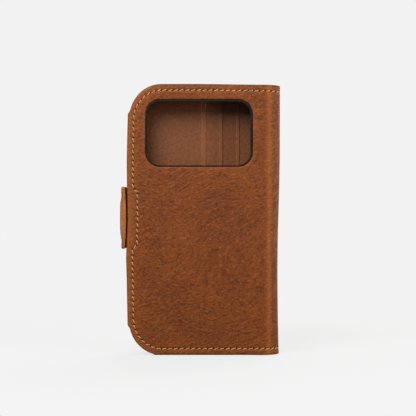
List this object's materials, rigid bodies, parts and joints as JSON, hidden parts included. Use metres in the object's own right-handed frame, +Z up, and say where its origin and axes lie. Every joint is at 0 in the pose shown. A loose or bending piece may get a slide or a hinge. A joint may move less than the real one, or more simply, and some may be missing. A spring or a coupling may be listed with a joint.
{
  "type": "phone wallet case",
  "caption": "Book-style leather phone wallet case with a moulded shell, camera opening, card pockets and a magnetic closure tab.",
  "frame": {"origin": "middle of the closed case's bottom edge, on the surface it stands on", "axes": "+Z up the case towards the camera end, +Y out of the front cover, -Y out of the back with the camera opening, +X towards the spine"},
  "size_m": [0.0922, 0.019, 0.1574],
  "materials": {
    "cover_leather": "oiled pull-up cowhide, tan brown, fine pebble grain with growth marks, semi-matt",
    "fold_leather": "the same hide where it bends, with fine creases and a lighter pull-up",
    "tab_leather": "lighter tan leather with a burnished cut edge",
    "lining_suede": "short-nap suede lining, brown, matt",
    "pocket_leather": "thin skived leather with creased mouths",
    "board": "grey-brown bonded stiffener board",
    "thread": "waxed twisted linen-look thread, pale tan",
    "shell": "moulded soft-touch plastic, near black",
    "bezel": "satin black moulded ring",
    "shell_pad": "dark grey microfibre",
    "button": "soft-touch plastic, near black",
    "magnet": "nickel-plated magnet",
    "keeper": "plain steel strip"
  },
  "bodies": {
    "back_case": {"back_leather": "cover_leather", "back_board": "board", "back_lining": "lining_suede", "closure_keeper": "keeper", "back_stitching": "thread", "back_fold_leather": "fold_leather", "back_fold_lining": "lining_suede", "phone_shell": "shell", "shell_pad": "shell_pad", "camera_bezel": "bezel"},
    "side_button": {"side_button_cover": "button"},
    "action_button": {"action_button_cover": "button"},
    "volume_up_button": {"volume_up_cover": "button"},
    "volume_down_button": {"volume_down_cover": "button"},
    "spine": {"spine_leather": "fold_leather", "spine_lining": "lining_suede"},
    "front_cover": {"front_leather": "cover_leather", "front_board": "board", "front_lining": "lining_suede", "front_stitching": "thread", "front_fold_leather": "fold_leather", "front_fold_lining": "lining_suede", "cash_pocket": "pocket_leather", "card_pocket_1": "pocket_leather", "card_pocket_2": "pocket_leather", "card_pocket_3": "pocket_leather", "tab_root": "tab_leather", "tab_fold_leather": "tab_leather"},
    "closure_tab": {"tab_leather": "tab_leather", "tab_lining": "tab_leather", "tab_magnet": "magnet", "tab_stitching": "thread"}
  },
  "joints": [
    {"name": "spine_fold", "type": "hinge", "parent": "back_case", "child": "spine", "pos_m": [0.04202, -0.00537, 0.0787], "axis": [0, 0, -1], "range_deg": [0, 179], "deforming": ["back_fold_leather", "back_fold_lining"]},
    {"name": "cover_fold", "type": "hinge", "parent": "spine", "child": "front_cover", "pos_m": [0.04202, 0.00537, 0.0787], "axis": [0, 0, -1], "range_deg": [0, 179], "deforming": ["front_fold_leather", "front_fold_lining"]},
    {"name": "tab_fold", "type": "hinge", "parent": "front_cover", "child": "closure_tab", "pos_m": [-0.04387, 0.00712, 0.0797], "axis": [0, 0, -1], "range_deg": [0, 120], "deforming": ["tab_fold_leather"]},
    {"name": "side_button_press", "type": "slide", "parent": "back_case", "child": "side_button", "axis": [1, 0, 0], "range_m": [0, 0.0004], "stiffness_N_per_m": 400, "springref_m": -0.001},
    {"name": "action_button_press", "type": "slide", "parent": "back_case", "child": "action_button", "axis": [-1, 0, 0], "range_m": [0, 0.0004], "stiffness_N_per_m": 400, "springref_m": -0.001},
    {"name": "volume_up_press", "type": "slide", "parent": "back_case", "child": "volume_up_button", "axis": [-1, 0, 0], "range_m": [0, 0.0004], "stiffness_N_per_m": 400, "springref_m": -0.001},
    {"name": "volume_down_press", "type": "slide", "parent": "back_case", "child": "volume_down_button", "axis": [-1, 0, 0], "range_m": [0, 0.0004], "stiffness_N_per_m": 400, "springref_m": -0.001}
  ]
}
